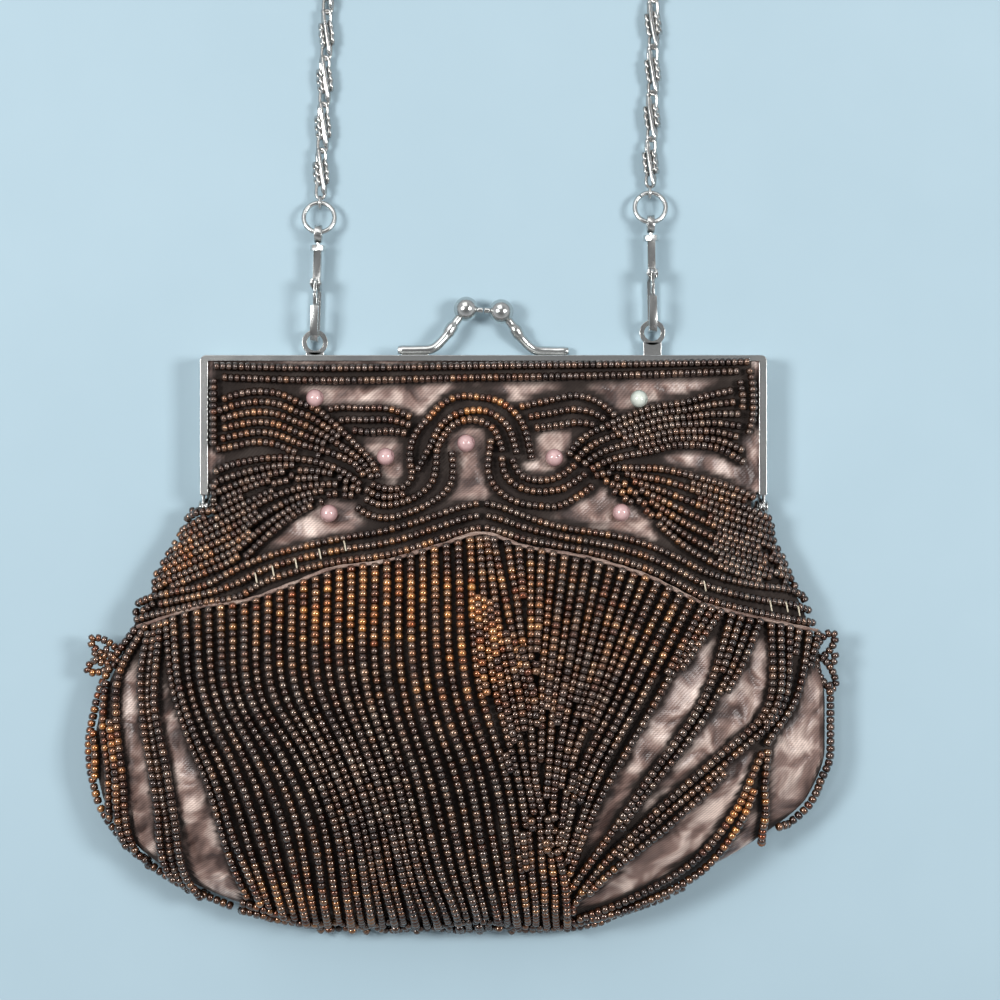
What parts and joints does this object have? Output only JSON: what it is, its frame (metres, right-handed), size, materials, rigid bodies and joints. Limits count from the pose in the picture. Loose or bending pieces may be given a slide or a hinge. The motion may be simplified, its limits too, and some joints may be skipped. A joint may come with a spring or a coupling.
{
  "type": "beaded flapper purse",
  "caption": "Frame purse with a kiss clasp, gathered satin pouch, embroidered bead panel, long bead fringe, pearl trims and a chain shoulder strap on spring clips, lying on its back.",
  "frame": {"origin": "middle of the back frame half's top flange, on the flat face that the purse rests on", "axes": "+X across the purse to the viewer's right, +Y from the pouch up through the frame towards the strap, +Z out of the front face"},
  "size_m": [0.1868, 0.4312, 0.0364],
  "materials": {
    "satin": "satin weave with a soft sheen",
    "beads": "dark amber lustre glass",
    "pink_pearl": "pearl lustre",
    "white_pearl": "pearl lustre",
    "nickel": "bright nickel plate"
  },
  "bodies": {
    "purse": {"satin_pouch": "satin", "bead_panel_front": "beads", "bead_chevron_back": "beads", "bead_fringe_front": "beads", "bead_fringe_back": "beads", "bead_tuft_left": "beads", "bead_tuft_right": "beads", "pearl_upper_left": "pink_pearl", "pearl_inner_left": "pink_pearl", "pearl_center": "pink_pearl", "pearl_inner_right": "pink_pearl", "pearl_lower_right": "pink_pearl", "pearl_lower_left": "pink_pearl", "pearl_upper_right": "white_pearl", "frame_back": "nickel", "frame_front": "nickel", "hinge_rivet_left": "nickel", "hinge_rivet_right": "nickel", "clip_body_left": "nickel", "clip_eye_left": "nickel", "jump_ring_left": "nickel", "clip_body_right": "nickel", "clip_eye_right": "nickel", "jump_ring_right": "nickel", "chain_strap": "nickel"},
    "gate_left": {"clip_lever_left": "nickel"},
    "gate_right": {"clip_lever_right": "nickel"}
  },
  "joints": [
    {"name": "gate_left_hinge", "type": "hinge", "parent": "purse", "child": "gate_left", "pos_m": [-0.04209, 0.01879, 0.0079], "axis": [0.9994, -0.0349, 0], "range_deg": [0, 20], "stiffness_Nm_per_rad": 0.0004, "springref_deg": -14.32},
    {"name": "gate_right_hinge", "type": "hinge", "parent": "purse", "child": "gate_right", "pos_m": [0.04235, 0.0213, 0.0079], "axis": [0.9998, 0.0174, 0], "range_deg": [0, 20], "stiffness_Nm_per_rad": 0.0004, "springref_deg": -14.32}
  ]
}
